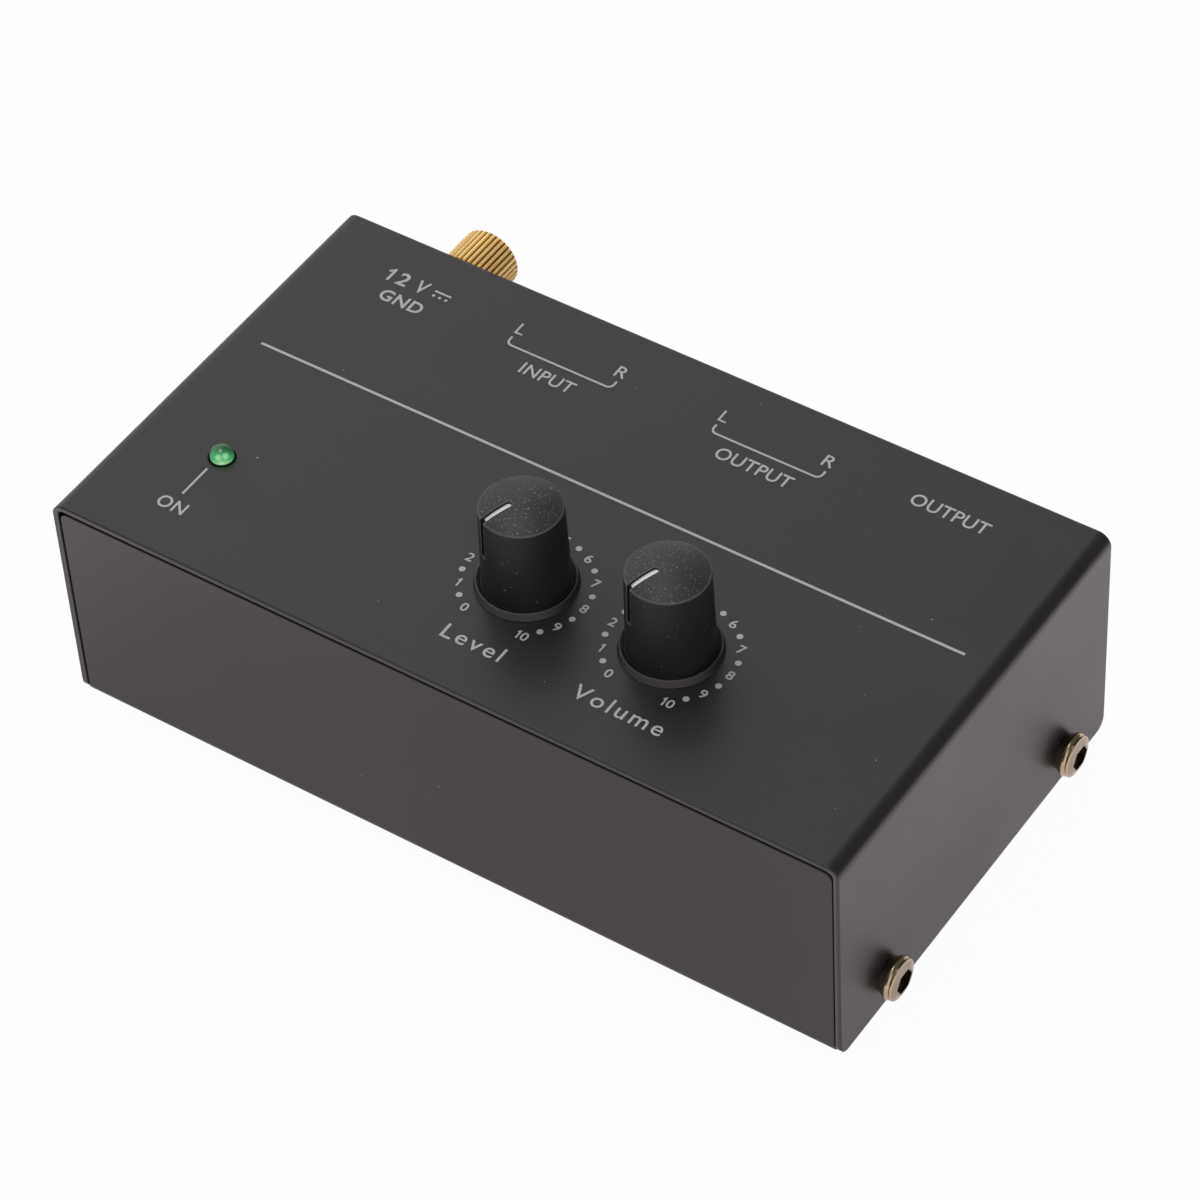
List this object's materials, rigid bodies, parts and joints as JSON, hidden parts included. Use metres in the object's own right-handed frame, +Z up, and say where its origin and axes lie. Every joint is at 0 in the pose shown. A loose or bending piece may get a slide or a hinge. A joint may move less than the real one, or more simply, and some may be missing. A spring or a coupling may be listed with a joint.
{
  "type": "phono preamp",
  "caption": "Small folded-steel phono preamp with dials and a lamp on top and its sockets along the back.",
  "frame": {"origin": "middle of the footprint at the feet's undersides, rear sockets included", "axes": "+X to the right along the width, +Y to the back where the sockets are, +Z up"},
  "size_m": [0.1398, 0.0842, 0.0586],
  "materials": {
    "cover_paint": "satin dark grey powder coat",
    "tray_paint": "satin dark grey powder coat",
    "nickel_steel": "bright nickel plate",
    "zinc_steel": "zinc plate",
    "foot_rubber": "matte",
    "board_laminate": "green solder mask",
    "knob_softtouch": "soft-touch matte",
    "pointer_white": "moulded white",
    "shaft_metal": "turned",
    "pot_metal": "pressed, tinned",
    "lamp_green": "translucent green epoxy",
    "spacer_nylon": "moulded",
    "lead_tin": "tinned",
    "connector_black": "moulded",
    "sleeve_gold": "gold plated",
    "insulator_white": "moulded white",
    "insulator_red": "moulded red",
    "contact_brass": "plated",
    "spring_bronze": "phosphor bronze strip",
    "chip_epoxy": "moulded epoxy",
    "can_sleeve": "shrink sleeve",
    "film_box": "moulded red box",
    "resistor_lacquer": "lacquered",
    "wire_insulation": "green insulation"
  },
  "bodies": {
    "case": {"board_screws": "zinc_steel", "board_standoffs": "zinc_steel", "bottom_tray": "tray_paint", "circuit_board": "board_laminate", "clinch_nuts": "zinc_steel", "electrolytic_capacitors": "can_sleeve", "film_capacitors": "film_box", "ground_fixed_nut": "sleeve_gold", "ground_lug": "lead_tin", "ground_stud": "sleeve_gold", "ground_wire": "wire_insulation", "lamp_leads": "lead_tin", "lamp_lens": "lamp_green", "lamp_spacer": "spacer_nylon", "left_input_socket_body": "connector_black", "left_input_socket_contact": "contact_brass", "left_input_socket_insulator": "insulator_white", "left_input_socket_sleeve": "sleeve_gold", "left_output_socket_body": "connector_black", "left_output_socket_contact": "contact_brass", "left_output_socket_insulator": "insulator_white", "left_output_socket_sleeve": "sleeve_gold", "level_pot_case": "pot_metal", "op_amps": "chip_epoxy", "power_socket_body": "connector_black", "power_socket_pin": "nickel_steel", "power_socket_spring": "spring_bronze", "resistors": "resistor_lacquer", "right_input_socket_body": "connector_black", "right_input_socket_contact": "contact_brass", "right_input_socket_insulator": "insulator_red", "right_input_socket_sleeve": "sleeve_gold", "right_output_socket_body": "connector_black", "right_output_socket_contact": "contact_brass", "right_output_socket_insulator": "insulator_red", "right_output_socket_sleeve": "sleeve_gold", "rubber_feet": "foot_rubber", "side_screws": "nickel_steel", "stereo_socket_body": "connector_black", "stereo_socket_bushing": "nickel_steel", "stereo_socket_nut": "nickel_steel", "stereo_socket_springs": "spring_bronze", "stereo_socket_washer": "nickel_steel", "top_cover": "cover_paint", "voltage_regulator": "chip_epoxy", "volume_pot_case": "pot_metal"},
    "level_dial": {"level_pot_shaft": "shaft_metal", "level_knob": "knob_softtouch", "level_pointer": "pointer_white"},
    "volume_dial": {"volume_pot_shaft": "shaft_metal", "volume_knob": "knob_softtouch", "volume_pointer": "pointer_white"},
    "clamp_washer": {"ground_washer": "sleeve_gold"},
    "thumb_nut": {"ground_thumb_nut": "sleeve_gold"}
  },
  "joints": [
    {"name": "level_turn", "type": "hinge", "parent": "case", "child": "level_dial", "pos_m": [0.0011, -0.01945, 0.0417], "axis": [0, 0, -1], "range_deg": [0, 300]},
    {"name": "volume_turn", "type": "hinge", "parent": "case", "child": "volume_dial", "pos_m": [0.02555, -0.01945, 0.0417], "axis": [0, 0, -1], "range_deg": [0, 300]},
    {"name": "thumb_nut_travel", "type": "slide", "parent": "case", "child": "clamp_washer", "axis": [0, 1, 0], "range_m": [0, 0.0028]},
    {"name": "thumb_nut_turn", "type": "hinge", "parent": "clamp_washer", "child": "thumb_nut", "pos_m": [-0.0479, 0.03125, 0.0332], "axis": [0, 1, 0], "range_deg": [0, 1440]}
  ],
  "couplings": [
    {"joint": "thumb_nut_turn", "follows": "thumb_nut_travel", "rad_per_m": 8976}
  ]
}
